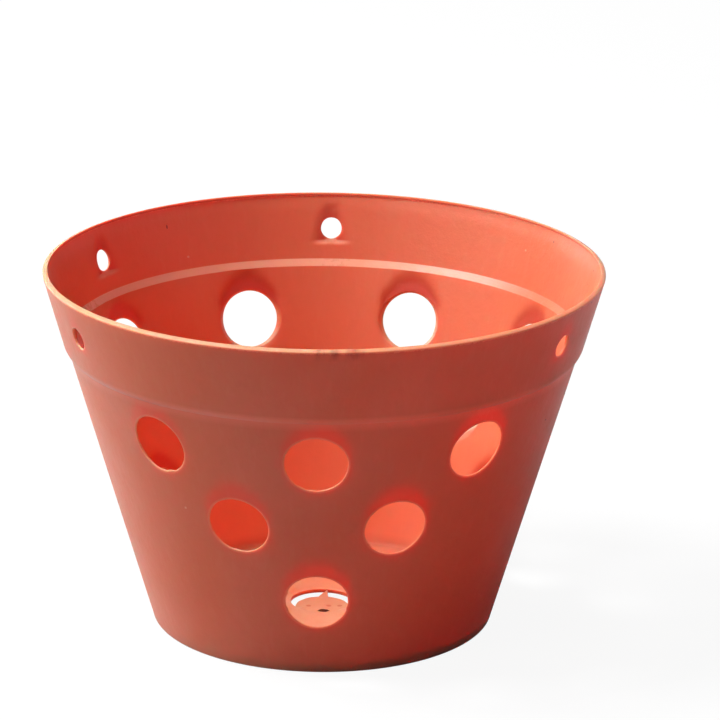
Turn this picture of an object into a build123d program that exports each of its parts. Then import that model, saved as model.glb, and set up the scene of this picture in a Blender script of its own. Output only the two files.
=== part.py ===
"""Hanging orchid pot with round air holes: one thin moulding, held as four zones that meet face to face.

Millimetres, +Z up. The origin is on the pot's axis, at the level of the surface that it stands on.
"""

import os
from math import atan, cos, radians, tan

from build123d import *

# Overall shape
rim_diameter = 150.4  # where the faces would meet, before the lip is rounded
height = 98.0
base_diameter = 91.8
wall = 1.4  # measured level, from outside face to inside face
lip_radius = 0.6
fullest_lip_share = 0.48  # of the collar wall's true thickness, just under a full round
base_edge_radius = 1.0

# Collar: the upper band stands out from the body below it
collar_height = 21.6  # from the shoulder up to the rim
collar_flare = 6.1  # how much the collar widens on its way up, on the radius
collar_step = 0.85
collar_turn_height = 2.2  # the collar's lower edge curls in over this height
inner_ledge_offset = 1.7  # the matching step inside starts this far above the shoulder
inner_ledge_rise = 1.8
inner_ledge_radius = 0.5

# Floor, raised on a foot ring
floor_top = 2.6
floor_thickness = 1.1
foot_width = 2.3
floor_corner_radius = 1.6

# Drain in the middle of the floor, with the moulding gate's disc hung below it on three arms
drain_diameter = 17.2
gate_disc_diameter = 14.6
gate_disc_top = 0.95
gate_disc_thickness = 0.75
gate_arm_root_width = 4.4
gate_arm_tip_width = 1.2
gate_arm_root_radius = 5.6
gate_arm_thickness = 0.8
gate_arm_tip_drop = 0.25  # the arm's tip meets the drain's wall this far below the floor
gate_arm_count = 3
gate_arm_start_angle = 90.0
gate_tear_width = 3.3  # small hole torn through the disc, in front of its middle
gate_tear_length = 1.9
gate_tear_offset = 4.2

# Large air holes, in three groups of three, two and one, less the top row's holes at the pot's two sides
group_count = 3
group_start_angle = 270.0
large_hole_diameter = 16.5
large_hole_flare = 0.7  # how much wider the hole is at the inside face, on the radius
top_row_drop = 12.2  # from the shoulder down to the middle of the holes
top_row_count = 3
top_row_spacing = 39.3  # degrees
top_row_bare_angle = 16.0  # the top row has no holes this near the x axis, at either side
middle_row_rise = 0.95  # above halfway between the other two rows
middle_row_count = 2
middle_row_spacing = 40.3
bottom_row_height = 22.3
bottom_row_count = 1
large_flute_radius = 16.0

# Small holes in the collar for hanging wires
wire_hole_diameter = 6.2
wire_hole_drop = 10.1  # from the rim down to the middle of the holes
wire_hole_angles = (90.0, 150.0, 210.0, 330.0)
small_flute_radius = 5.2

# Every hole has a shallow upright flute behind it, where the core is drawn out
flute_skin = 0.65  # wall left behind a flute
flute_floor_drop = 1.2  # the flute's floor starts this far below the hole
flute_floor_angle = 45.0

overrun = 3.0  # how far a cutter runs past what it cuts

# Sizes worked out from those above
base_radius = base_diameter / 2
rim_radius = rim_diameter / 2
drain_radius = drain_diameter / 2
shoulder_height = height - collar_height
collar_foot_radius = rim_radius - collar_flare
body_top_radius = collar_foot_radius - collar_step
body_slope = (body_top_radius - base_radius) / shoulder_height
collar_slope = collar_flare / collar_height
inner_ledge_height = shoulder_height + inner_ledge_offset
inner_ledge_top = inner_ledge_height + inner_ledge_rise
top_row_height = shoulder_height - top_row_drop
middle_row_height = (top_row_height + bottom_row_height) / 2 + middle_row_rise
wire_hole_height = height - wire_hole_drop
floor_underside = floor_top - floor_thickness


def body_radius(z):
    """Outside radius of the body at a height."""
    return base_radius + body_slope * z


def collar_radius(z):
    """Outside radius of the collar at a height."""
    return collar_foot_radius + collar_slope * (z - shoulder_height)


def spread(count, spacing, centre):
    """Angles of a row of holes about the middle of its group."""
    first = centre - spacing * (count - 1) / 2
    return [first + spacing * i for i in range(count)]


def hole_tool(diameter, z, outer_radius, slope, flare=0):
    """Punch square to the wall at angle zero: true size at the outside face, and wider inside by the flare."""
    lean = atan(slope)
    inward = Plane(origin=(outer_radius(z), 0, z), x_dir=(0, 1, 0), z_dir=(-cos(lean), 0, cos(lean) * slope))
    widening = flare / (wall * cos(lean))
    length = wall + 2 * overrun
    with BuildPart(inward.offset(-overrun)) as tool:
        if flare:
            Cone(
                bottom_radius=diameter / 2 - widening * overrun,
                top_radius=diameter / 2 + widening * (length - overrun),
                height=length,
                align=(Align.CENTER, Align.CENTER, Align.MIN),
            )
        else:
            Cylinder(diameter / 2, length, align=(Align.CENTER, Align.CENTER, Align.MIN))
    return tool.part


def flute_tool(diameter, z, outer_radius, slope, flute_radius, ceiling):
    """Upright flute behind a hole at angle zero, no deeper than the skin that it leaves."""
    lean = atan(slope)
    hole_top = z + diameter / 2 * cos(lean)
    hole_bottom = z - diameter / 2 * cos(lean)
    reach = outer_radius(hole_top)
    floor_in = hole_bottom - flute_floor_drop
    rise = tan(radians(flute_floor_angle))
    inside = outer_radius(floor_in) - wall - overrun
    # The sloping floor meets the skin face where both have the same radius.
    depth = (wall - flute_skin) / (1 - slope * rise)
    floor_out = floor_in + depth * rise
    with BuildPart() as tool:
        with BuildSketch(Plane.XZ):
            with BuildLine():
                Polyline(
                    (inside, floor_in - overrun * rise),
                    (outer_radius(floor_out) - flute_skin, floor_out),
                    (outer_radius(ceiling) - flute_skin, ceiling),
                    (inside, ceiling),
                    close=True,
                )
            make_face()
        revolve(axis=Axis.Z)
        with Locations((reach - flute_radius, 0, 0)):
            Cylinder(
                flute_radius,
                height,
                align=(Align.CENTER, Align.CENTER, Align.MIN),
                mode=Mode.INTERSECT,
            )
    return tool.part


body_hole = {"outer_radius": body_radius, "slope": body_slope}
collar_hole = {"outer_radius": collar_radius, "slope": collar_slope}

rows = [
    (top_row_height, top_row_count, top_row_spacing, top_row_bare_angle),
    (middle_row_height, middle_row_count, middle_row_spacing, 0),
    (bottom_row_height, bottom_row_count, 0, 0),
]
holes = []
for row_height, count, spacing, bare_angle in rows:
    punch = hole_tool(large_hole_diameter, row_height, flare=large_hole_flare, **body_hole)
    flute = flute_tool(
        large_hole_diameter,
        row_height,
        flute_radius=large_flute_radius,
        ceiling=inner_ledge_height,
        **body_hole,
    )
    angles = [
        angle
        for group in range(group_count)
        for angle in spread(count, spacing, group_start_angle + group * 360 / group_count)
        if abs((angle + 90) % 180 - 90) >= bare_angle
    ]
    holes.append((punch, flute, angles))
wire_punch = hole_tool(wire_hole_diameter, wire_hole_height, **collar_hole)
wire_flute = flute_tool(
    wire_hole_diameter,
    wire_hole_height,
    flute_radius=small_flute_radius,
    ceiling=height,
    **collar_hole,
)
holes.append((wire_punch, wire_flute, wire_hole_angles))
cutters = [
    tool.moved(Location((0, 0, 0), (0, 0, angle)))
    for punch, flute, angles in holes
    for angle in angles
    for tool in (flute, punch)
]

# The whole moulding, before it is parted into its zones
turn_top = shoulder_height + collar_turn_height
rounded_lip = min(lip_radius, fullest_lip_share * wall * cos(atan(collar_slope)))
with BuildPart() as moulding:
    with BuildSketch(Plane.XZ) as section:
        with BuildLine():
            Polyline(
                (body_top_radius, shoulder_height),
                (base_radius, 0),
                (base_radius - foot_width, 0),
                (base_radius - foot_width, floor_underside),
                (drain_radius, floor_underside),
                (drain_radius, floor_top),
                (body_radius(floor_top) - wall, floor_top),
                (body_radius(inner_ledge_height) - wall, inner_ledge_height),
                (collar_radius(inner_ledge_top) - wall, inner_ledge_top),
                (rim_radius - wall, height),
                (rim_radius, height),
                (collar_radius(turn_top), turn_top),
            )
            TangentArc(
                (collar_radius(turn_top), turn_top),
                (body_top_radius, shoulder_height),
                tangent=(-collar_slope, -1),
            )
        make_face()
        rounded_corners = [
            (rim_radius, height, rounded_lip),
            (rim_radius - wall, height, rounded_lip),
            (base_radius, 0, base_edge_radius),
            (body_radius(floor_top) - wall, floor_top, floor_corner_radius),
            (body_radius(inner_ledge_height) - wall, inner_ledge_height, inner_ledge_radius),
        ]
        for corner_x, corner_z, radius in rounded_corners:
            corner = section.vertices().sort_by_distance((corner_x, corner_z))[0]
            fillet(corner, radius)
    revolve(axis=Axis.Z)
    add(cutters, mode=Mode.SUBTRACT)

# The zones are parted level, at the shoulder and where the floor's rounded corner has become the wall.
floor_zone_height = floor_top + floor_corner_radius
with BuildPart() as rim_collar:
    add(moulding.part)
    split(bisect_by=Plane.XY.offset(shoulder_height), keep=Keep.TOP)
with BuildPart() as side_wall:
    add(moulding.part)
    split(bisect_by=Plane.XY.offset(shoulder_height), keep=Keep.BOTTOM)
    split(bisect_by=Plane.XY.offset(floor_zone_height), keep=Keep.TOP)
with BuildPart() as pot_floor:
    add(moulding.part)
    split(bisect_by=Plane.XY.offset(floor_zone_height), keep=Keep.BOTTOM)

# Gate disc below the drain, and the arms that climb from it to the drain's wall
arm_tip_top = floor_top - gate_arm_tip_drop
with BuildPart() as gate_arm:
    with BuildSketch(Plane.XZ):
        with BuildLine():
            Polyline(
                (gate_arm_root_radius, gate_disc_top),
                (drain_radius, arm_tip_top),
                (drain_radius + overrun, arm_tip_top),
                (drain_radius + overrun, arm_tip_top - gate_arm_thickness),
                (drain_radius, arm_tip_top - gate_arm_thickness),
                (gate_arm_root_radius, gate_disc_top - gate_disc_thickness),
                close=True,
            )
        make_face()
    extrude(amount=gate_arm_root_width / 2, both=True)
    with BuildSketch(Plane.XY):
        with BuildLine():
            Polyline(
                (gate_arm_root_radius, gate_arm_root_width / 2),
                (drain_radius, gate_arm_tip_width / 2),
                (drain_radius + overrun, gate_arm_tip_width / 2),
                (drain_radius + overrun, -gate_arm_tip_width / 2),
                (drain_radius, -gate_arm_tip_width / 2),
                (gate_arm_root_radius, -gate_arm_root_width / 2),
                close=True,
            )
        make_face()
    extrude(amount=floor_top, mode=Mode.INTERSECT)
with BuildPart() as gate_web:
    with BuildSketch(Plane.XY.offset(gate_disc_top - gate_disc_thickness)):
        Circle(gate_disc_diameter / 2)
    extrude(amount=gate_disc_thickness)
    with PolarLocations(0, gate_arm_count, start_angle=gate_arm_start_angle):
        add(gate_arm.part)
    with BuildSketch(Plane.XY):
        Circle(drain_radius)
    extrude(amount=floor_top, mode=Mode.INTERSECT)
    with BuildSketch(Plane.XY.offset(gate_disc_top)):
        with BuildLine():
            Polyline(
                (-gate_tear_width / 2, -gate_tear_offset),
                (0, -gate_tear_offset - gate_tear_length / 2),
                (gate_tear_width / 2, -gate_tear_offset),
                (0, -gate_tear_offset + gate_tear_length / 2),
                close=True,
            )
        make_face()
    extrude(amount=-gate_disc_thickness, mode=Mode.SUBTRACT)

os.makedirs("parts", exist_ok=True)
for name, zone in {
    "rim_collar": rim_collar,
    "side_wall": side_wall,
    "pot_floor": pot_floor,
    "gate_web": gate_web,
}.items():
    zone.part.label = name
    export_step(zone.part, f"parts/{name}.step")
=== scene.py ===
"""Orchid pot with round air holes: one thin terracotta-red moulding on a pale studio floor.

The shell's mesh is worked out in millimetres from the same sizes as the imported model, then scaled to metres.
"""

from math import acos, atan, atan2, cos, degrees, hypot, pi, radians, sin, tan

import bmesh
import bpy
import numpy as np
from mathutils import Matrix, Vector
from mathutils.geometry import delaunay_2d_cdt


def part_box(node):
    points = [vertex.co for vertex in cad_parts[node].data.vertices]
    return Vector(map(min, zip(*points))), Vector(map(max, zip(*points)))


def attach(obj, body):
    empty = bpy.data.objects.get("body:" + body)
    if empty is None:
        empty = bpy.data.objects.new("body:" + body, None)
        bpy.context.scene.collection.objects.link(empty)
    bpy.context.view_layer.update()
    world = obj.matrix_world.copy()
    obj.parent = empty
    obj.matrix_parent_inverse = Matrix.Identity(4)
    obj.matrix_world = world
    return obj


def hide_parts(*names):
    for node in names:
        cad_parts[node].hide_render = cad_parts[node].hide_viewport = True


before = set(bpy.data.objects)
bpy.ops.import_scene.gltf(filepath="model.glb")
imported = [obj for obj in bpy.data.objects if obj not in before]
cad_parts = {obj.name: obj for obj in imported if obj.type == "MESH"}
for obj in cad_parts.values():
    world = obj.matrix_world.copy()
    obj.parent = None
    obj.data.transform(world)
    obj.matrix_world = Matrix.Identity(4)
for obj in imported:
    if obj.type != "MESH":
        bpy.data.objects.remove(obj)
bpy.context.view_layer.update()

MM = 0.001

# Sizes of the moulding, in millimetres
collar_low, collar_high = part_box("rim_collar")
body_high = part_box("side_wall")[1]
height = collar_high.z / MM
shoulder_height = collar_low.z / MM
body_top_radius = body_high.x / MM
base_radius = 45.9
rim_radius = 75.2
collar_foot_radius = body_top_radius + 0.85
wall = 1.4
base_edge_radius = 1.0
collar_turn_height = 2.2
inner_ledge_height = shoulder_height + 1.7
inner_ledge_rise = 1.8
inner_ledge_radius = 0.5
floor_top = 2.6
floor_underside = 1.5
foot_width = 2.3
floor_corner_radius = 2.0
drain_radius = 8.6
edge_radius = 0.15  # of every edge that the mould left nearly sharp
sharp_angle = radians(50)  # edges at a greater angle are shaded as sharp

# Gate disc in the drain, and its three torn arms
disc_radius = 7.3
disc_top = 0.95
disc_bottom = 0.2
disc_edge = 0.2
arm_roots = 5.3
arm_root_width = 4.4
arm_thickness = 0.8
arm_tip_top = 2.35
arms = [(90, -8.5, 0.35), (210, 3.0, 1.1), (330, -3.5, 1.2)]  # angle, how far the tip is bent, its width
tear_centre = (0.55, -4.2)
tear_outline = [
    (-1.75, 0.0), (-1.25, 0.6), (-0.8, 1.25), (-0.1, 1.4), (0.45, 1.2), (0.9, 1.1), (1.35, 0.5), (1.8, 0.1),
    (1.2, -0.4), (0.75, -0.85), (0.35, -1.5), (0.0, -1.0), (-0.7, -0.85), (-1.3, -0.45),
]
tear_burr = 0.28
tear_half_size = (1.75, 1.4)
tear_clearance = (2.8, 2.4)  # half size of the oval round the tear that the sheet's even points keep out of
ejector_marks = [(-3.7, 0.0), (1.8, 0.3), (4.8, 0.4)]
ejector_mark_radius = 0.75
disc_steps = 96

# The lip: its top slants outwards, and its inner edge overhangs the wall a little
lip_fall = 0.55
lip_outer_radius = 0.4
lip_inner_radius = 0.12
lip_overhang = 0.16
lip_depth = 0.85
mouth_flare = 0.22  # the wall's inside opens by this much just below the lip
mouth_flare_height = 4.0

body_slope = (body_top_radius - base_radius) / shoulder_height
collar_slope = (rim_radius - collar_foot_radius) / (height - shoulder_height)
inner_ledge_top = inner_ledge_height + inner_ledge_rise

# Holes and the flutes behind them
large_hole_radius = 8.1
large_hole_flare = 0.7
large_hole_radius_behind = 7.95
large_flute_radius = 16.0
large_flute_reach = 0.45
niche_margin = 1.4  # the niche behind a large hole is this much wider than it, round its lower half
niche_steepness = 0.5
niche_blend = 0.35
wire_hole_radius = 2.95
wire_hole_height = height - 10.1
small_flute_width = 4.3
small_flute_height = 11.0
small_flute_taper = 0.045  # the share of its width that it loses in each millimetre upwards
small_flute_fade = 0.65  # the share of its height over which it fades out
flute_half_turn = 0.4  # in radians: no flute reaches further round the wall
flute_skin = 0.65
flute_floor_drop = 0.5
flute_floor_rise = 0.14
flute_blend = 0.3
far_inside = 3.0
hole_edge_radius = {"outer": 0.34, "inner": 0.16}

# The pattern of the holes: three groups of large ones, and the wire holes; angles in degrees
group_centres = (270, 30, 150)
top_row_turns = (-39.3, 0, 39.3)
middle_row_turns = (-20.15, 20.15)
bare_angle = 16  # the top row has no hole this close to the pot's two sides
wire_hole_angles = (90, 150, 210, 330)
top_row, bottom_row = shoulder_height - 12.2, 22.3
middle_row = (top_row + bottom_row) / 2 + 0.95

# Unevenness of the moulding
warp_depth = 0.16
nick_top = 0.25  # the nicks fade out upwards from this far below the lip's top

# How fine the mesh is: gaps between rows by the kind of face, and between columns in degrees
row_gaps = {"plain": 1.25, "outer": 2.4, "inner": 1.25, "floor": 3.4, "drain": 0.45, "lip": 0.45}
collar_inside_gap = 0.9
least_row_gap = 0.3
curl_steps = 7
column_gap = 1.0
wire_column_gap, wire_column_reach = 0.6, 5.4
nick_column_gap, nick_columns = 0.4, (269.6, 280.4)
large_hole_steps, wire_hole_steps = 84, 40
sides = ("outer", "inner")
# By large or not, and by side: how far round a hole the grid is cut away, and the rings that lie in that gap
hole_margins = {(True, "outer"): 1.5, (True, "inner"): 1.9, (False, "outer"): 0.8, (False, "inner"): 0.5}
hole_gap_rings = {  # how far outside the hole each lies, and its share of the hole's flare
    (True, "outer"): [(0.8, 0)],
    (True, "inner"): [(2.05, 0), (1.55, 0.3), (1.2, 0.45), (0.85, 0.6), (0.45, 0.8)],
    (False, "outer"): [(0.55, 0)],
    (False, "inner"): [],
}
# The edge mark paints a highlight round each hole: its share where the edge begins, and on its round
hole_edge_highlight = {"outer": (0.7, 1.0), "inner": (0.1, 0.25)}  # where the edge begins, and on its round


def body_radius(z):
    """Outside radius of the body at a height."""
    return base_radius + body_slope * z


def collar_radius(z):
    """Outside radius of the collar at a height."""
    return collar_foot_radius + collar_slope * (z - shoulder_height)


class Hole:
    """A round hole square to the wall, with an upright flute behind it."""

    def __init__(self, angle, z, radius, flare, surface, slope, ceiling, steps):
        self.key = (round(angle % 360, 2), z)
        self.large = flare > 0
        self.angle = radians(angle)
        self.z = z
        self.radius = radius
        self.flare = flare
        self.surface = surface
        self.lean = atan(slope)
        self.slope = slope
        self.ceiling = ceiling
        self.steps = steps
        self.reach = surface(z + radius * cos(self.lean)) + large_flute_reach
        self.floor_in = z - radius * cos(self.lean) - flute_floor_drop

    def unrolled(self, theta, z):
        """Distances across and up from the hole's middle on the unrolled wall."""
        return self.surface(self.z) * turn_between(theta, self.angle), (z - self.z) / cos(self.lean)

    def spread(self, theta, z):
        """The same, stretched unevenly so that no three points of the grid's diagonals are in line."""
        across, up = self.unrolled(theta, z)
        return across * (1 + 0.004 * across), up * (1 + 0.007 * up)


def large_hole(angle, z):
    radius = large_hole_radius if sin(radians(angle)) < 0 else large_hole_radius_behind
    return Hole(angle, z, radius, large_hole_flare, body_radius, body_slope, inner_ledge_height, large_hole_steps)


def wire_hole(angle):
    return Hole(angle, wire_hole_height, wire_hole_radius, 0, collar_radius, collar_slope, height, wire_hole_steps)


def at_a_side(angle):
    """Whether an angle is close to the pot's left or right side."""
    return abs((angle + 90) % 180 - 90) < bare_angle


holes = []
for centre in group_centres:
    top_row_angles = [centre + turn for turn in top_row_turns]
    holes += [large_hole(angle, top_row) for angle in top_row_angles if not at_a_side(angle)]
    holes += [large_hole(centre + turn, middle_row) for turn in middle_row_turns]
    holes.append(large_hole(centre, bottom_row))
holes += [wire_hole(angle) for angle in wire_hole_angles]

# Burrs that reach into a hole: by its angle and height, each one's turn, half width in degrees and size
burrs = {
    (270, bottom_row): [(165, 5, 0.28), (199, 4, 0.22), (345, 5, 0.3)],
    (230.7, top_row): [(266, 7, 0.22), (285, 9, 0.5)],
    (270, top_row): [(262, 4, 0.16)],
    (290.15, middle_row): [(215, 5, 0.18)],
    (249.85, middle_row): [(262, 12, 0.2)],
    (50.15, middle_row): [(232, 20, 0.7)],
}
# Nicks in the lip's outer edge: angle, half width in degrees, depth and how far down it reaches
nicks = [
    (270.6, 0.5, 0.12, 1.2), (271.7, 0.4, 0.06, 0.9), (273.6, 0.9, 0.15, 1.5), (276.2, 0.4, 0.07, 1.0),
    (277.6, 1.0, 0.16, 1.3), (279.2, 0.4, 0.05, 0.8),
]


def soft_least(a, b, blend):
    return (a + b - np.sqrt((a - b) ** 2 + blend**2)) / 2


def soft_most(a, b, blend):
    return (a + b + np.sqrt((a - b) ** 2 + blend**2)) / 2


def turn_between(a, b):
    """The signed turn from angle b to angle a."""
    return (a - b + pi) % (2 * pi) - pi


def fluted(theta, z, plain):
    """The inside radius where the flutes deepen a plain inside radius."""
    result = np.array(plain, float)
    for hole in holes:
        turn = turn_between(theta, hole.angle)
        near = (np.abs(turn) < flute_half_turn) & (z < hole.ceiling + 0.01)
        if hole.large:  # a niche that follows the hole below and rises straight above it
            centre = hole.reach - large_flute_radius
            across = centre * np.sin(turn)
            near = near & (np.abs(across) < large_flute_radius)
            round_face = centre * np.cos(turn) + np.sqrt(np.maximum(large_flute_radius**2 - across**2, 0))
            face = soft_least(round_face, hole.surface(z) - flute_skin, flute_blend / 2)
            across_wall, up_wall = hole.unrolled(theta, z)
            from_middle = np.hypot(across_wall, np.minimum(up_wall, 0))
            closing = niche_steepness * (hole.radius + niche_margin - from_middle)
            face = soft_least(face, plain + closing, niche_blend)
            # Less what the blend alone adds, where the face lies far inside the plain wall
            deeper = soft_most(face, plain, flute_blend) - soft_most(plain - far_inside, plain, flute_blend)
        else:  # a soft hollow that narrows and fades upwards from a thin ledge
            above = z - hole.floor_in
            width = small_flute_width * (1 - small_flute_taper * above)
            bulge = np.exp(-np.abs(hole.surface(z) * turn / width) ** 3)
            fade = np.clip((small_flute_height - above) / (small_flute_fade * small_flute_height), 0, 1)
            hollow = (wall - flute_skin) * bulge * fade * (2 - fade)
            deeper = np.maximum(np.minimum(hollow, above / flute_floor_rise), 0)
        result = np.where(near, np.maximum(result, plain + deeper), result)
    return result


def arc(centre, radius, start, end, steps):
    """Points of an arc in the section's plane, from one angle to another."""
    turns = [start + (end - start) * i / steps for i in range(steps + 1)]
    return [(centre[0] + radius * cos(t), centre[1] + radius * sin(t)) for t in turns]


def rounded(before, corner, after, radius, steps):
    """The fillet's arc at a corner of the section."""
    b, c, a = Vector(before), Vector(corner), Vector(after)
    u, v = (b - c).normalized(), (a - c).normalized()
    half = acos(max(-1, min(1, u.dot(v)))) / 2
    centre = c + (u + v).normalized() * (radius / sin(half))
    start = c + u * (radius / tan(half)) - centre
    end = c + v * (radius / tan(half)) - centre
    t0, t1 = atan2(start.y, start.x), atan2(end.y, end.x)
    t1 = t0 + turn_between(t1, t0)
    return arc(centre, radius, t0, t1, steps)


def section():
    """The closed section as rows of (radius, height, kind), from the foot outwards and up, and back inside."""
    foot_inner = base_radius - foot_width
    turn_top = shoulder_height + collar_turn_height
    # The collar's lower edge curls in on an arc that leaves the collar straight.
    top = Vector((collar_radius(turn_top), turn_top))
    foot = Vector((body_top_radius, shoulder_height))
    down = Vector((-collar_slope, -1)).normalized()
    inward = Vector((down.y, -down.x))
    curl_radius = (foot - top).length_squared / (2 * (foot - top).dot(inward))
    curl_centre = top + inward * curl_radius
    start = atan2(*(foot - curl_centre).yx)
    end = atan2(*(top - curl_centre).yx)
    curl = arc(curl_centre, curl_radius, start, end, curl_steps)

    # Each corner's place, its fillet's radius and steps, and the kind of the straight run that leads to it
    corners = [
        ((foot_inner, 0), edge_radius, 2, "plain"),
        ((base_radius, 0), base_edge_radius, 6, "plain"),
        (curl[0], edge_radius, 2, "outer"),
        *[(point, 0, 0, "outer") for point in curl[1:]],
        ((collar_radius(height - lip_fall), height - lip_fall), lip_outer_radius, 5, "outer"),
        ((rim_radius - wall - lip_overhang, height), lip_inner_radius, 3, "lip"),
        ((collar_radius(height - lip_depth) - wall, height - lip_depth), 2 * edge_radius, 3, "lip"),
        ((collar_radius(inner_ledge_top) - wall, inner_ledge_top), 2 * edge_radius, 3, "inner"),
        ((body_radius(inner_ledge_height) - wall, inner_ledge_height), inner_ledge_radius, 4, "plain"),
        ((body_radius(floor_top) - wall, floor_top), floor_corner_radius, 6, "inner"),
        ((drain_radius, floor_top), edge_radius, 3, "floor"),
        ((drain_radius, floor_underside), edge_radius, 3, "drain"),
        ((foot_inner, floor_underside), 2 * edge_radius, 3, "floor"),
    ]
    rows = []
    count = len(corners)
    for i, (corner, radius, steps, kind) in enumerate(corners):
        before, after = corners[i - 1][0], corners[(i + 1) % count][0]
        points = rounded(before, corner, after, radius, steps) if radius else [corner]
        rows.append((points, kind))
    return rows


def row_gap(kind, z):
    """How far apart the rows lie along the section."""
    return collar_inside_gap if kind == "inner" and z > inner_ledge_top else row_gaps[kind]


wire_ledge = holes[-1].floor_in


def section_rows():
    """Every row of the shell in order: radius, height and kind."""
    parts = section()
    rows = []
    for i, (points, kind) in enumerate(parts):
        # The straight run from the corner before to this one has this corner's kind.
        last = parts[i - 1][0][-1]
        first = points[0]
        length = hypot(first[0] - last[0], first[1] - last[1])
        run = max(1, round(length / row_gap(kind, (last[1] + first[1]) / 2)))
        shares = [k / run for k in range(1, run)]
        if kind == "inner" and first[1] > inner_ledge_top - 1 and last[1] > inner_ledge_top:
            # Rows along the two edges of the ledge below each wire hole
            for level in (wire_ledge, wire_ledge + (wall - flute_skin) * flute_floor_rise):
                share = (level - last[1]) / (first[1] - last[1])
                shares = [s for s in shares if abs(s - share) * length > least_row_gap] + [share]
        for share in sorted(shares):
            rows.append((last[0] + (first[0] - last[0]) * share, last[1] + (first[1] - last[1]) * share, kind))
        for k, point in enumerate(points):
            edge_kind = kind if k == 0 else parts[(i + 1) % len(parts)][1] if k == len(points) - 1 else "round"
            rows.append((*point, edge_kind))
    return rows


def column_angles():
    """Angles of the shell's columns, closer together at the wire holes and at the nicks in the lip."""
    coarse, fine = radians(column_gap), radians(wire_column_gap)
    fine_reach = radians(wire_column_reach)
    stops = []
    for hole in sorted(holes, key=lambda hole: hole.angle):
        if not hole.large:
            stops += [(hole.angle - fine_reach, fine), (hole.angle + fine_reach, coarse)]
    nicks_start, nicks_end = nick_columns
    stops[-2:-2] = [(radians(nicks_start), radians(nick_column_gap)), (radians(nicks_end), coarse)]
    angles = []
    for (start, gap), (end, _) in zip(stops, stops[1:] + [(stops[0][0] + 2 * pi, 0)]):
        steps = max(1, round((end - start) / gap))
        angles += [start + (end - start) * k / steps for k in range(steps)]
    return np.array(angles)


def mouth(z):
    """How far the collar's inside opens near the lip."""
    share = np.clip((z - (height - lip_depth - mouth_flare_height)) / mouth_flare_height, 0, 1)
    return mouth_flare * share * share * (3 - 2 * share)


def warp(theta, z):
    """The small unevenness of a cooled moulding, always inward, growing towards the rim."""
    wave = 0.5 + 0.25 * np.sin(2 * theta + 0.6) + 0.25 * np.sin(3 * theta + 2.1 + z * 0.02)
    return -warp_depth * wave * (np.maximum(z, 0) / height) ** 1.5


def nicked(theta, z):
    """How far the nicks cut into the lip's outer side."""
    cut = 0 * theta
    for angle, half_width, depth, drop in nicks:
        across = degrees(1) * turn_between(theta, radians(angle)) / half_width
        down = max(0, (height - nick_top - z) / drop)
        cut = cut + depth * np.exp(-(across**2) - down**4)
    return cut


class Shell:
    """Collects the points and faces of the pot's mesh, and marks for its material."""

    def __init__(self):
        self.points = []
        self.faces = []
        self.marks = {"edge": [], "groove": [], "curl": []}

    def add(self, points, **marks):
        first = len(self.points)
        self.points.extend(tuple(p) for p in points)
        for name, values in self.marks.items():
            values.extend([marks.get(name, 0.0)] * len(points))
        return list(range(first, first + len(points)))

    def band(self, ring, other):
        """Faces between two closed rings of as many points."""
        count = len(ring)
        for i in range(count):
            j = (i + 1) % count
            self.faces.append((ring[i], ring[j], other[j], other[i]))


def polar(radius, theta, z):
    return np.stack([radius * np.cos(theta), radius * np.sin(theta), z + 0 * theta], -1)


def surface_radius(side, theta, z, hole):
    """Radius of the outside or inside face near a hole."""
    outer = hole.surface(z)
    if side == "outer":
        return outer + warp(theta, z)
    return fluted(theta, z, outer - wall) + warp(theta, z)


def hole_ring(hole, radius, side, sink, flare=0, burred=False):
    """A ring of points round a hole, on a face of the wall or sunk below it along the hole's axis."""
    turns = 2 * pi * np.arange(hole.steps) / hole.steps
    # No hole is quite round.
    phase = 7 * hole.angle + hole.z
    radius = radius + 0.03 * np.sin(2 * turns + phase) + 0.02 * np.sin(5 * turns + 2 * phase)
    for turn, half_width, size in burrs.get(hole.key, []) if burred else []:
        radius = radius - size * np.exp(-((turn_between(turns, radians(turn)) / radians(half_width)) ** 2))
    inward = np.array([-cos(hole.lean), 0, sin(hole.lean)])
    up = np.array([sin(hole.lean), 0, cos(hole.lean)])
    along = np.array([0, 1, 0])
    start = np.array([hole.surface(hole.z), 0, hole.z])

    def at_depth(depth):
        grown = radius + flare * depth / (wall * cos(hole.lean))
        return (
            start
            + (grown * np.cos(turns))[:, None] * along
            + (grown * np.sin(turns))[:, None] * up
            + depth[:, None] * inward
        )

    depth = np.zeros(hole.steps)
    for _ in range(8):  # enough for the ring to settle on the face
        x, y, z = at_depth(depth).T
        face = surface_radius(side, np.arctan2(y, x) + hole.angle, z, hole)
        depth = depth + (np.hypot(x, y) - face) * cos(hole.lean)
    x, y, z = at_depth(depth + sink).T
    c, s = cos(hole.angle), sin(hole.angle)
    return np.stack([c * x - s * y, s * x + c * y, z], -1)


def patch_coordinates(points, hole):
    """Places on the unrolled wall, measured from the hole's middle."""
    points = np.asarray(points)
    theta = np.arctan2(points[:, 1], points[:, 0])
    return np.stack(hole.spread(theta, points[:, 2]), -1)


def fill_patch(shell, hole, outline, is_inside, rings):
    """Triangles between the staircase edge that the grid leaves and the rings round a hole."""
    outline_edges, outline_ids = outline
    ids = outline_ids + [i for ring in rings for i in ring]
    places = patch_coordinates([shell.points[i] for i in ids], hole)
    where = {key: n for n, key in enumerate(outline_ids)}
    edges = [(where[a], where[b]) for a, b in outline_edges]
    first = len(outline_ids)
    for ring in rings:
        count = len(ring)
        edges += [(first + i, first + (i + 1) % count) for i in range(count)]
        first += count
    verts, _, faces, sources, *_ = delaunay_2d_cdt([Vector(p) for p in places], edges, [], 0, 1e-7)
    inner_polygon = [Vector(places[ids.index(i)]) for i in rings[-1]]
    for face in faces:
        middle = sum((verts[i] for i in face), Vector((0, 0))) / len(face)
        if is_inside(middle) and not inside_polygon(middle, inner_polygon):
            shell.faces.append(tuple(ids[sources[i][0]] for i in face))


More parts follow.
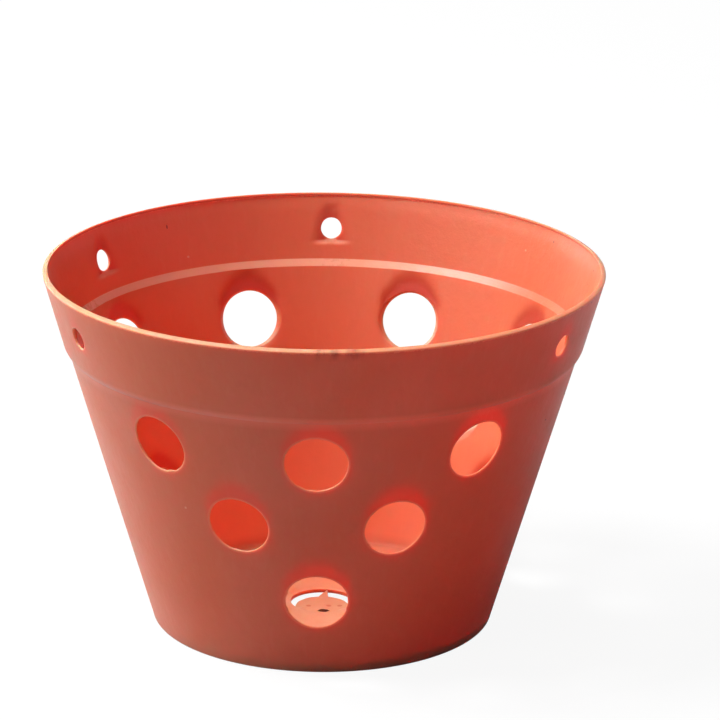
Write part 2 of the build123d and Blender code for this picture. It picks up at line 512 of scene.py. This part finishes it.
def inside_polygon(point, polygon):
    inside = False
    for a, b in zip(polygon, polygon[1:] + polygon[:1]):
        if (a.y > point.y) != (b.y > point.y):
            if point.x < a.x + (b.x - a.x) * (point.y - a.y) / (b.y - a.y):
                inside = not inside
    return inside


def add_grid(shell, rows, theta):
    """Add the points of the whole grid, a ring for each row, and give the rings' numbers."""
    grid = []
    for radius, z, kind in rows:
        radii = np.full(len(theta), float(radius))
        if kind == "inner" or (kind == "round" and radius < body_radius(z) - 1.0 and z > floor_top):
            radii = fluted(theta, z, radii)
        if kind == "inner" and z > inner_ledge_top:
            radii = radii + mouth(z)
        if radius > rim_radius - 1 and z > height - 3:
            radii = radii - nicked(theta, z)
        radii = radii + warp(theta, z)
        # Under the lip: painted shade below its top row, which gets a painted highlight
        under_lip = kind in ("lip", "round") and radius < rim_radius - wall + 0.05 and z > height - lip_depth - 0.12
        # A painted sheen on the collar's lower curl
        painted_curl_sheen = (radius > body_radius(z) - 0.5 and z > shoulder_height - 0.05) * np.interp(
            z, (shoulder_height + 1.2, shoulder_height + 2.3), (1, 0))
        grid.append(shell.add(
            polar(radii, theta, z), groove=float(under_lip and z < height - 0.2),
            edge=0.9 * (under_lip and z > height - 0.2), curl=painted_curl_sheen))
    return grid


def cells_at_holes(rows, theta):
    """The grid's cells that make way for a hole, by the hole's number and the side of the wall."""
    heights = np.array([row[1] for row in rows])
    kinds = [row[2] for row in rows]
    count, columns = len(rows), len(theta)
    owner = np.full((count, columns), -1)
    keys = [(h, side) for h in range(len(holes)) for side in sides]
    for number, (h, side) in enumerate(keys):
        hole = holes[h]
        reach = hole.radius + (hole.flare if side == "inner" else 0) + hole_margins[hole.large, side]
        u, v = hole.unrolled(theta, heights[0])[0], hole.unrolled(theta[0], heights)[1]
        for k in range(count):
            if kinds[k] != side or kinds[(k + 1) % count] != side:
                continue
            for j in np.nonzero(np.abs(u) < reach + 1)[0]:
                corners = [
                    hypot(u[jj], v[kk])
                    for jj in (j, (j + 1) % columns)
                    for kk in (k, (k + 1) % count)
                ]
                if min(corners) < reach:
                    owner[k, j] = number
    return owner, {key: {tuple(cell) for cell in np.argwhere(owner == n)} for n, key in enumerate(keys)}


def outline_of(cells, grid):
    """The edges round a set of the grid's cells, and the numbers of the points on them."""
    count, columns = len(grid), len(grid[0])
    edges, ids = [], []
    for k, j in cells:
        kk, jj = (k + 1) % count, (j + 1) % columns
        for neighbour, edge in (
            (((k - 1) % count, j), (grid[k][j], grid[k][jj])),
            ((kk, j), (grid[kk][j], grid[kk][jj])),
            ((k, (j - 1) % columns), (grid[k][j], grid[kk][j])),
            ((k, jj), (grid[k][jj], grid[kk][jj])),
        ):
            if neighbour not in cells:
                edges.append(edge)
                ids += edge
    return edges, sorted(set(ids))


def test_for(cells, hole, rows, theta):
    """A test that says whether a place on the unrolled wall is in one of the cells."""
    heights = np.array([row[1] for row in rows])
    u, v = hole.spread(theta, heights[0])[0], hole.spread(theta[0], heights)[1]
    row_list = sorted({k for k, _ in cells})
    column_list = sorted({j for _, j in cells}, key=lambda j: u[j])

    def is_inside(point):
        for k in row_list:
            low, high = sorted((v[k], v[(k + 1) % len(v)]))
            if low <= point.y <= high:
                for j in column_list:
                    if u[j] <= point.x <= u[(j + 1) % len(u)]:
                        return (k, j) in cells
        return False

    return is_inside


def add_hole_rings(shell, hole, side):
    """Add a hole's rings on one side: those of its rounded edge, from the face inwards, and those outside them."""
    flare = hole.flare if side == "inner" else 0
    sign = 1 if side == "outer" else -1
    edge = hole_edge_radius[side]
    # The edge mark on these rings paints a highlight, strong outside and faint inside
    highlight_at_start, highlight_on_round = hole_edge_highlight[side]
    on_face = shell.add(hole_ring(hole, hole.radius + edge, side, 0, flare, True), edge=highlight_at_start)
    outside = [
        shell.add(hole_ring(hole, hole.radius + step, side, 0, flare * share))
        for step, share in hole_gap_rings[hole.large, side]
    ]
    turned_in = [
        shell.add(
            hole_ring(hole, hole.radius + edge * (1 - sin(t)), side, sign * edge * (1 - cos(t)), flare, True),
            edge=highlight_on_round)
        for t in (radians(30), radians(60), radians(90))
    ]
    return [on_face, *turned_in], outside


def build_shell():
    """The whole pot but its gate: a grid turned round the axis, with the holes stitched in."""
    shell = Shell()
    rows = section_rows()
    theta = column_angles()
    count, columns = len(rows), len(theta)
    grid = add_grid(shell, rows, theta)
    owner, cells = cells_at_holes(rows, theta)
    for k in range(count):
        low, high = grid[k], grid[(k + 1) % count]
        for j in range(columns):
            if owner[k, j] < 0:
                jj = (j + 1) % columns
                shell.faces.append((low[j], low[jj], high[jj], high[j]))

    for h, hole in enumerate(holes):
        rounds = {}
        for side in sides:
            rounds[side], outside = add_hole_rings(shell, hole, side)
            owned = cells[h, side]
            is_inside = test_for(owned, hole, rows, theta)
            fill_patch(shell, hole, outline_of(owned, grid), is_inside, [*outside, rounds[side][0]])
        for rings in rounds.values():
            for ring, other in zip(rings, rings[1:]):
                shell.band(ring, other)
        shell.band(rounds["outer"][-1], rounds["inner"][-1])
    return shell


def thinness(points):
    """How much of the wall's thickness the flutes take away at each point of the wall, from 0 to 1."""
    x, y, z = np.array(points).T
    plain = np.where(z > inner_ledge_top, collar_radius(z), body_radius(z)) - wall
    share = (fluted(np.arctan2(y, x), z, plain) - plain) / (wall - flute_skin)
    return np.where((np.hypot(x, y) > plain - 2) & (z > floor_top + 1), np.clip(share, 0, 1), 0)


def mark(mesh, name, values):
    """Keep a value for each vertex, which the material reads."""
    mesh.attributes.new(name, "FLOAT", "POINT").data.foreach_set("value", np.array(values, np.float32))


def mesh_object(name, points, faces, marks=None):
    """A smooth object from points in millimetres, with its normals outwards and no loose points."""
    mesh = bpy.data.meshes.new(name)
    mesh.from_pydata([tuple(float(c) * MM for c in p) for p in points], [], faces)
    for key, values in (marks or {}).items():
        mark(mesh, key, values)
    obj = bpy.data.objects.new(name, mesh)
    bpy.context.scene.collection.objects.link(obj)
    bm = bmesh.new()
    bm.from_mesh(mesh)
    loose = [v for v in bm.verts if not v.link_faces]
    bmesh.ops.delete(bm, geom=loose, context="VERTS")
    bmesh.ops.recalc_face_normals(bm, faces=bm.faces)
    for face in bm.faces:
        face.smooth = True
    bm.to_mesh(mesh)
    bm.free()
    mesh.set_sharp_from_angle(angle=sharp_angle)
    return obj


def gate_disc():
    """The disc as a closed sheet with a torn hole, a burr round the tear and shallow ejector marks."""
    centre = np.array(tear_centre)
    tear = np.array(tear_outline)

    def grown(step):
        """The tear's outline, moved outwards."""
        lengths = np.hypot(tear[:, 0], tear[:, 1])[:, None]
        return centre + tear * (lengths + step) / lengths

    def ring(radius):
        turns = 2 * pi * np.arange(disc_steps) / disc_steps
        return np.stack([radius * np.cos(turns), radius * np.sin(turns)], -1)

    loops = [ring(disc_radius - disc_edge), grown(0.07)]
    tear_count = len(tear)
    extra = [grown(step) for step in (0.25, 0.5, 0.8)] + [ring(disc_radius - 2 * disc_edge)]
    # Even points over the sheet, in rows that are staggered by half a gap
    inner = []
    gap, half_columns, half_rows = 0.5, 15, 17
    for i in range(-half_columns, half_columns + 1):
        for j in range(-half_rows, half_rows + 1):
            point = np.array([(i + j % 2 / 2) * gap, j * gap * 0.87])
            if hypot(*point) < disc_radius - 0.7 and hypot(*((point - centre) / tear_clearance)) > 1:
                inner.append(point)
    flat = np.concatenate(loops + extra + [np.array(inner)])
    edges = []
    first = 0
    for loop in loops:
        edges += [(first + i, first + (i + 1) % len(loop)) for i in range(len(loop))]
        first += len(loop)
    verts, _, triangles, sources, *_ = delaunay_2d_cdt([Vector(q) for q in flat], edges, [], 0, 1e-7)
    hole = [Vector(q) for q in loops[1]]
    faces = []
    for face in triangles:
        middle = sum((verts[i] for i in face), Vector((0, 0))) / len(face)
        if not inside_polygon(middle, hole):
            faces.append(tuple(sources[i][0] for i in face))

    x, y = flat.T
    nearest = np.min(np.hypot(x[:, None] - loops[1][None, :, 0], y[:, None] - loops[1][None, :, 1]), 1)
    burr = tear_burr * np.exp(-((nearest / 0.35) ** 2))
    dents = sum(
        0.10 * np.exp(-(((x - mx) ** 2 + (y - my) ** 2) / ejector_mark_radius**2) ** 2) for mx, my in ejector_marks
    )
    uneven = 0.04 * np.sin(x * 1.3 + 0.4) * np.cos(y * 1.1)
    nub = 0.12 * np.exp(-((np.hypot(x, y) / 1.1) ** 4))
    top = [(*q, disc_top + z) for q, z in zip(flat, burr - dents + uneven)]
    bottom = [(*q, disc_bottom + z) for q, z in zip(flat, uneven / 4 - burr / 4 - nub)]
    points = top + bottom
    count = len(flat)
    faces += [tuple(i + count for i in reversed(face)) for face in faces]

    def side(start, steps, levels):
        """Rings from the sheet's top loop down to its bottom loop: how far out each lies, and how far down."""
        rings = [[start + i for i in range(steps)]]
        for grow, share in levels:
            new = []
            for i in range(steps):
                x, y, upper = top[start + i]
                lower = bottom[start + i][2]
                middle = (0, 0) if start == 0 else tear_centre
                length = hypot(x - middle[0], y - middle[1])
                scale = (length + grow) / length
                new.append(len(points))
                points.append((
                    middle[0] + (x - middle[0]) * scale,
                    middle[1] + (y - middle[1]) * scale,
                    upper + (lower - upper) * share,
                ))
            rings.append(new)
        rings.append([start + count + i for i in range(steps)])
        for a, b in zip(rings, rings[1:]):
            for i in range(steps):
                j = (i + 1) % steps
                faces.append((a[i], a[j], b[j], b[i]))

    side(0, disc_steps, [(0.14, 0.08), (disc_edge, 0.27), (disc_edge, 0.73), (0.14, 0.92)])
    before = len(points)
    side(disc_steps, tear_count, [(-0.05, 0.03), (-0.07, 0.1), (-0.07, 0.9), (-0.05, 0.97)])
    return points, faces, points[before + tear_count:]


def gate_arm(angle, bend, tip_width):
    """A tapered arm that climbs from the disc to the drain's wall, with rounded corners."""
    points, faces = [], []
    stations, around = 14, 20
    into_wall = 0.35
    for k in range(stations):
        share = k / (stations - 1)
        r = arm_roots + (drain_radius + into_wall - arm_roots) * share
        width = arm_root_width + (tip_width - arm_root_width) * min(1, share * 1.05) ** 0.8
        climb = disc_top - arm_thickness / 2 + (arm_tip_top - disc_top) * share**1.1
        turn = radians(angle + bend * share**1.5)
        for i in range(around):
            t = 2 * pi * i / around
            x = width / 2 * np.sign(cos(t)) * abs(cos(t)) ** 0.5
            z = arm_thickness / 2 * np.sign(sin(t)) * abs(sin(t)) ** 0.5
            points.append((r * cos(turn) - x * sin(turn), r * sin(turn) + x * cos(turn), climb + z))
    for k in range(stations - 1):
        for i in range(around):
            j = (i + 1) % around
            a, b = k * around, (k + 1) * around
            faces.append((a + i, a + j, b + j, b + i))
    faces.append(tuple(range(around)))
    faces.append(tuple(range((stations - 1) * around, stations * around)))
    return points, faces


def join(main, others):
    """Make one closed solid of several."""
    for other in others:
        union = main.modifiers.new("join", "BOOLEAN")
        union.operation = "UNION"
        union.solver = "EXACT"
        union.object = other
    bpy.context.view_layer.update()
    joined = bpy.data.meshes.new_from_object(main.evaluated_get(bpy.context.evaluated_depsgraph_get()))
    main.modifiers.clear()
    main.data = joined
    for other in others:
        bpy.data.objects.remove(other)
    for face in joined.polygons:
        face.use_smooth = True
    joined.set_sharp_from_angle(angle=sharp_angle)


def mark_gate(mesh, tear_wall):
    """Mark the tear's wall dark as painted shade, and the plastic round it pale as a painted highlight."""
    places = np.array([vertex.co / MM for vertex in mesh.vertices])
    from_wall = np.min(np.linalg.norm(places[:, None] - np.array(tear_wall)[None], axis=2), 1)
    mark(mesh, "nick_dark_and_tear_shade", from_wall < 0.01)
    from_tear = np.hypot(*((places[:, :2] - tear_centre) / tear_half_size).T)
    mark(mesh, "edge", 0.9 * np.exp(-(((from_tear - 1.1) / 0.25) ** 2)) * (from_wall > 0.01))


def marks_by_place(points):
    """The shell's marks that follow from where a point lies: its height, its radius and its turn."""
    x, y, z = np.array(points).T
    angles, outward = np.arctan2(y, x), np.hypot(x, y)
    inside = outward < np.where(z > shoulder_height, collar_radius(z), body_radius(z)) - 0.6
    inner_wall = inside * (z > floor_top + 0.5) * (outward > body_radius(z) - 4)
    by_wall = np.interp(outward, (34, 41), (0, 1)) * np.interp(z, (3, 6), (1, 0))
    thin = thinness(points)
    return {
        # Where the flutes thin the wall: a painted glow outside, painted shade inside
        "thin": np.where(inside, 0, thin),
        "hollow": np.where(inside, thin, 0),
        # Painted light on the inside wall, fading out upwards
        "low": inner_wall * np.interp(z, (6, 55), (1, 0)),
        # A painted glow on the inside wall towards the back left
        "glow": inner_wall * np.exp(-((turn_between(angles, radians(140)) / radians(50)) ** 2)),
        # Painted shade on the floor by the wall
        "corner": inside * (z > floor_top - 0.3) * by_wall,
        # Darker in the rim's nicks
        "nick_dark_and_tear_shade": np.clip([3.5 * nicked(a, level) * (level > height - 2) for a, level in zip(angles, z)], 0, 1),
    }


disc_points, disc_faces, tear_wall = gate_disc()
gate = mesh_object("gate_disc", disc_points, disc_faces)
join(gate, [mesh_object(f"gate_arm_{angle}", *gate_arm(angle, bend, width)) for angle, bend, width in arms])
mark_gate(gate.data, tear_wall)
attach(gate, "root")
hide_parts("gate_web")

shell = build_shell()
pot = mesh_object("pot_shell", shell.points, shell.faces, {**shell.marks, **marks_by_place(shell.points)})
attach(pot, "root")
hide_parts("rim_collar", "side_wall", "pot_floor")


class Graph:
    """Short ways to add shader nodes; a value given for a socket is a number, a colour or another socket."""

    def __init__(self, tree):
        self.nodes, self.links = tree.nodes, tree.links

    def add(self, kind, inputs=(), **settings):
        node = self.nodes.new(kind)
        for name, value in settings.items():
            setattr(node, name, value)
        for socket, value in dict(inputs).items():
            if isinstance(value, bpy.types.NodeSocket):
                self.links.new(value, node.inputs[socket])
            else:
                node.inputs[socket].default_value = value
        return node

    def math(self, operation, a, b):
        return self.add("ShaderNodeMath", {0: a, 1: b}, operation=operation).outputs[0]

    def times(self, a, b):
        return self.math("MULTIPLY", a, b)

    def vector(self, operation, a, b=(0, 0, 0)):
        """The result of a vector operation: a number for a length or a distance, and else a vector."""
        node = self.add("ShaderNodeVectorMath", {0: a, 1: b}, operation=operation)
        return node.outputs["Value" if operation in ("LENGTH", "DISTANCE") else "Vector"]

    def parts(self, vector):
        """A vector's three parts."""
        return list(self.add("ShaderNodeSeparateXYZ", {0: vector}).outputs)

    def ramp(self, value, low, high, to_low=0.0, to_high=1.0):
        """A smooth step of a value from one range to another."""
        inputs = {0: value, 1: low, 2: high, 3: to_low, 4: to_high}
        return self.add("ShaderNodeMapRange", inputs, interpolation_type="SMOOTHSTEP").outputs[0]

    def mark(self, name, strength=1.0):
        """A mark that the mesh keeps for each of its points, times a strength."""
        value = self.add("ShaderNodeAttribute", attribute_name=name).outputs["Fac"]
        return self.times(value, strength)

    def noise(self, place, scale, detail=2.0, roughness=0.5, stretch=None):
        if stretch:
            place = self.vector("MULTIPLY", place, stretch)
        inputs = {"Vector": place, "Scale": scale, "Detail": detail, "Roughness": roughness}
        return self.add("ShaderNodeTexNoise", inputs).outputs["Fac"]

    def tint(self, colour, share, other):
        """Mix a share of another colour into a colour."""
        inputs = {0: share, 6: colour, 7: (*other, 1.0)}
        return self.add("ShaderNodeMix", inputs, data_type="RGBA").outputs[2]

    def bump(self, height, strength, distance, under=None):
        """Bumps by a height, on top of other bumps; the distance in millimetres."""
        inputs = {"Strength": strength, "Distance": distance * MM, "Height": height}
        if under:
            inputs["Normal"] = under
        return self.add("ShaderNodeBump", inputs).outputs[0]

    def spot(self, place, centre, size):
        """A small soft spot round a point; both in millimetres."""
        away = self.vector("SUBTRACT", place, tuple(c * MM for c in centre))
        away = self.vector("MULTIPLY", away, tuple(1 / (MM * s) for s in size))
        return self.ramp(self.vector("LENGTH", away), 0.7, 1.15, 1.0, 0.0)


# Specks and a scratch that the photo shows: angle, height, size (tangent and radial, then upright), inside or not
dark_spots = [
    (8.15, 94.5, (0.35, 0.35), True), (9.1, 90.4, (0.3, 0.3), True), (7.8, 88.9, (0.35, 0.3), True),
    (31.4, 94.5, (0.3, 0.3), True), (129.3, 92.2, (0.22, 0.9), True), (335.7, 64.6, (0.35, 0.3), False),
    (340.3, 96.4, (0.3, 0.3), False),
]
pale_spots = [(40.0, 89.7, (0.35, 0.3), True), (124.9, 83.2, (0.4, 0.3), True), (235.0, 46.6, (0.4, 0.35), False)]

base_colour = (0.71, 0.170, 0.078)
deep_colour = (0.60, 0.115, 0.045)
thin_wall_glow_colour = (0.86, 0.10, 0.04)
flute_shade_colour = (0.54, 0.05, 0.024)
painted_glow_colour = (0.92, 0.125, 0.05)
lower_wall_light_colour = (0.95, 0.26, 0.14)
corner_shade_colour = (0.50, 0.10, 0.045)
curl_sheen_colour = (0.92, 0.24, 0.14)
ledge_highlight_colour = (0.86, 0.42, 0.30)
edge_highlight_colour = (0.88, 0.37, 0.20)
under_lip_shade_colour = (0.52, 0.06, 0.026)
bloom_and_sheen_colour = (0.80, 0.41, 0.26)
nick_and_tear_dark_colour = (0.11, 0.03, 0.02)
speck_colour = (0.16, 0.03, 0.022)


def plastic():
    """Moulded polypropylene: mottled, faintly streaked, with painted highlights at its edges, paler where it faces up
    as dust and a painted sheen, and painted light and shade in places.
    """
    material = bpy.data.materials.new("pot_plastic")
    material.use_nodes = True
    g = Graph(material.node_tree)
    shader = g.nodes["Principled BSDF"]
    place = g.add("ShaderNodeTexCoord").outputs["Object"]
    across, behind, level = g.parts(place)
    facing_up = g.parts(g.add("ShaderNodeNewGeometry").outputs["Normal"])[2]

    cloud = g.noise(place, 38, 3)
    mottle = g.noise(place, 260, 3, 0.6)
    grain = g.noise(place, 3600, 2, 0.6)
    streak = g.noise(place, 420, 2, 0.55, (1, 1, 0.05))
    scuff = g.noise(place, 900, 3, 0.7, (1, 1, 0.35))

    colour = g.add("ShaderNodeRGB").outputs[0]
    colour.default_value = (*base_colour, 1.0)
    colour = g.tint(colour, g.ramp(cloud, 0.35, 0.7, 0.0, 0.12), deep_colour)
    colour = g.tint(colour, g.ramp(mottle, 0.45, 0.75, 0.0, 0.14), deep_colour)
    colour = g.tint(colour, g.ramp(streak, 0.5, 0.75, 0.0, 0.05), bloom_and_sheen_colour)
    # Painted light and shade: a glow towards the back left and light low down on the inside wall, a glow where the
    # flutes thin the wall outside, and shade in the flutes inside
    for name, strength, other in (
        ("glow", 0.35, painted_glow_colour), ("low", 0.55, lower_wall_light_colour),
        ("thin", 0.8, thin_wall_glow_colour), ("hollow", 0.9, flute_shade_colour),
    ):
        colour = g.tint(colour, g.mark(name, strength), other)

    # Upward faces are paler, partly dust and partly a painted sheen; this thins out on the floor towards the wall and
    # the back, and on the ledge and the lip towards the right.
    dust_and_sheen = g.times(g.ramp(facing_up, 0.25, 0.8, 0.0, 0.65), g.ramp(mottle, 0.2, 0.65, 0.75, 1.0))
    from_axis = g.vector("LENGTH", g.vector("MULTIPLY", place, (1, 1, 0)))
    above_floor = g.ramp(level, 0.01, 0.02)
    below_ledge = g.ramp(level, 0.06, 0.05)
    for kept, elsewhere in (
        (g.ramp(from_axis, 0.031, 0.041, 1.0, 0.1), above_floor),
        (g.ramp(behind, -0.005, 0.01, 1.0, 0.5), above_floor),
        (g.ramp(across, 0.01, 0.05, 1.0, 0.2), below_ledge),
    ):
        dust_and_sheen = g.times(dust_and_sheen, g.math("MAXIMUM", kept, elsewhere))
    colour = g.tint(colour, dust_and_sheen, bloom_and_sheen_colour)

    # The inner ledge, by its height in metres, but for its right end
    on_ledge = g.times(g.ramp(facing_up, 0.3, 0.5), g.ramp(level, 0.0765, 0.0775))
    on_ledge = g.times(on_ledge, g.ramp(level, 0.081, 0.0815, 1.0, 0.0))
    on_ledge = g.times(on_ledge, g.ramp(across, 0.025, 0.06, 1.0, 0.0))
    # Painted shade in the floor's corner by the wall
    colour = g.tint(colour, g.mark("corner", 0.7), corner_shade_colour)
    # A painted highlight on the inner ledge
    colour = g.tint(colour, g.times(on_ledge, 0.75), ledge_highlight_colour)
    # A painted sheen on the collar's lower curl
    colour = g.tint(colour, g.mark("curl", 0.55), curl_sheen_colour)

    # Pale edges as a painted highlight, broken up by the scuff noise: the lip's top band and the marked edges, but
    # for the groove below the lip
    lip_low = g.math("SUBTRACT", level, g.times(g.math("SUBTRACT", scuff, 0.5), 1.6 * MM))
    lip = g.ramp(lip_low, (height - 1.15) * MM, (height - 0.8) * MM, 0.0, 0.7)
    edge = g.math("MAXIMUM", lip, g.mark("edge", 0.75))
    edge = g.times(edge, g.math("SUBTRACT", 1.0, g.mark("groove")))
    edge = g.times(edge, g.ramp(scuff, 0.3, 0.6, 0.75, 1.0))
    colour = g.tint(colour, edge, edge_highlight_colour)
    # Painted shade in the groove below the lip
    colour = g.tint(colour, g.mark("groove", 0.75), under_lip_shade_colour)

    for spots, spot_colour, strength in ((dark_spots, speck_colour, 0.85), (pale_spots, bloom_and_sheen_colour, 0.8)):
        for angle, z, (wide, tall), inside in spots:
            r = collar_radius(z) if z > inner_ledge_top else body_radius(z)
            r -= wall if inside else 0
            centre = (r * cos(radians(angle)), r * sin(radians(angle)), z)
            colour = g.tint(colour, g.times(g.spot(place, centre, (wide, wide, tall)), strength), spot_colour)
    # The ejector marks' dents are tinted darker as painted shade
    for x, y in ejector_marks:
        spot = g.spot(place, (x, y, disc_top), (ejector_mark_radius,) * 3)
        colour = g.tint(colour, g.times(spot, 0.85), deep_colour)
    # Darker in the rim's nicks, and painted shade on the wall of the gate's tear
    nick_dark_and_tear_shade = g.times(g.mark("nick_dark_and_tear_shade"), g.ramp(scuff, 0.3, 0.6, 0.55, 1.0))
    colour = g.tint(colour, nick_dark_and_tear_shade, nick_and_tear_dark_colour)
    g.links.new(colour, shader.inputs["Base Color"])

    roughness = g.math("ADD", g.ramp(cloud, 0.3, 0.7, 0.37, 0.46), g.ramp(scuff, 0.5, 0.8, 0.0, 0.1))
    for change in (
        g.times(dust_and_sheen, 0.1), g.times(on_ledge, -0.14), g.mark("corner", 0.35), g.mark("curl", -0.04),
        g.mark("nick_dark_and_tear_shade", 0.3),
    ):
        roughness = g.math("ADD", roughness, change)
    g.links.new(roughness, shader.inputs["Roughness"])
    bumps = g.bump(mottle, 0.5, 0.25, g.bump(scuff, 0.4, 0.10, g.bump(grain, 0.35, 0.04)))
    g.links.new(bumps, shader.inputs["Normal"])
    shader.inputs["Specular IOR Level"].default_value = 0.5
    g.links.new(g.math("SUBTRACT", 1.0, g.mark("groove", 0.7)), shader.inputs["Subsurface Weight"])
    shader.inputs["Subsurface Radius"].default_value = (3.0, 0.5, 0.25)
    shader.inputs["Subsurface Scale"].default_value = 0.001
    return material


material = plastic()
for piece in (pot, gate, *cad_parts.values()):
    piece.data.materials.clear()
    piece.data.materials.append(material)


# Studio
floor_reach = 3.0  # half the floor's width, in metres
lamp_distance = 1.4
lamp_size = 0.55
lamps = [  # name, azimuth and elevation in degrees, and power in watts
    ("key", 180, 62, 20), ("side", 182, 36, 10.5), ("front", 225, 36, 2.5), ("rim", 135, 12, 6),
    ("top", 0, 88, 2.5),
]
camera_place = Vector((0.02741, -1.00546, 0.39391))
camera_target = Vector((0.009756, -0.000245, 0.071825))
camera_roll = 0.00908
camera_lens = 196.90


def backdrop_mix(g, seen, unseen, glossy_share):
    """Show one shader to camera and transmission rays and a share of it to glossy ones, and the other to the rest."""
    path = g.add("ShaderNodeLightPath").outputs
    share = g.times(path["Is Glossy Ray"], glossy_share)
    share = g.math("MAXIMUM", share, path["Is Camera Ray"])
    share = g.math("MAXIMUM", share, path["Is Transmission Ray"])
    return g.add("ShaderNodeMixShader", {0: share, 1: unseen, 2: seen}).outputs[0]


def white_world():
    """A dim white room; gloss shows the white backdrop near the horizon, and the dim room above it."""
    world = bpy.data.worlds.new("studio")
    world.use_nodes = True
    g = Graph(world.node_tree)
    fill = g.nodes["Background"]
    fill.inputs["Color"].default_value = (1, 1, 1, 1)
    fill.inputs["Strength"].default_value = 0.05
    white = g.add("ShaderNodeBackground", {"Strength": 1.0})
    rise = g.parts(g.add("ShaderNodeTexCoord").outputs["Generated"])[2]
    mixed = backdrop_mix(g, white.outputs[0], fill.outputs[0], g.ramp(rise, 0.25, 0.65, 1.0, 0.1))
    g.links.new(mixed, g.nodes["World Output"].inputs["Surface"])
    return world


def white_floor():
    """A floor that the camera sees as white, with the pot's shadow; near the pot, centred a little to its right, its
    gloss is dimmer, a painted shadow in what the pot reflects.
    """
    mesh = bpy.data.meshes.new("floor")
    r = floor_reach
    mesh.from_pydata([(-r, -r, 0), (r, -r, 0), (r, r, 0), (-r, r, 0)], [], [(0, 1, 2, 3)])
    paint = bpy.data.materials.new("floor")
    paint.use_nodes = True
    g = Graph(paint.node_tree)
    g.nodes.remove(g.nodes["Principled BSDF"])
    dull = g.add("ShaderNodeBsdfDiffuse", {"Color": (0.27, 0.27, 0.27, 1)})
    pale = g.add("ShaderNodeBsdfDiffuse", {"Color": (0.08, 0.08, 0.08, 1)})
    glow = g.add("ShaderNodeEmission", {"Strength": 0.92})
    both = g.add("ShaderNodeAddShader", {0: pale.outputs[0], 1: glow.outputs[0]})
    away = g.vector("DISTANCE", g.add("ShaderNodeTexCoord").outputs["Object"], (0.1, 0.02, 0))
    mixed = backdrop_mix(g, both.outputs[0], dull.outputs[0], g.ramp(away, 0.06, 0.22, 0.12, 1.0))
    g.links.new(mixed, g.nodes["Material Output"].inputs["Surface"])
    mesh.materials.append(paint)
    return bpy.data.objects.new("studio_floor", mesh)


def softbox(name, azimuth, elevation, power):
    """A round area lamp aimed at the pot from a direction given in degrees."""
    data = bpy.data.lights.new(name, "AREA")
    data.shape = "DISK"
    data.size = lamp_size
    data.energy = power
    obj = bpy.data.objects.new(name, data)
    a, e = radians(azimuth), radians(elevation)
    aim = Vector((0, 0, 0.05))
    obj.location = aim + lamp_distance * Vector((cos(a) * cos(e), sin(a) * cos(e), sin(e)))
    obj.rotation_euler = (aim - obj.location).to_track_quat("-Z", "Y").to_euler()
    return obj


def fitted_camera():
    """The camera, placed as fitted to the photo."""
    data = bpy.data.cameras.new("camera")
    data.lens = camera_lens
    data.sensor_width = 36
    data.sensor_fit = "HORIZONTAL"
    obj = bpy.data.objects.new("camera", data)
    look = (camera_target - camera_place).to_track_quat("-Z", "Y").to_matrix().to_4x4()
    obj.matrix_world = Matrix.Translation(camera_place) @ look @ Matrix.Rotation(camera_roll, 4, "Z")
    return obj


scene = bpy.context.scene
scene.world = white_world()
floor = white_floor()
scene.collection.objects.link(floor)
for lamp in lamps:
    scene.collection.objects.link(softbox(*lamp))
camera = fitted_camera()
scene.collection.objects.link(camera)
scene.camera = camera
scene.view_settings.view_transform = "Standard"
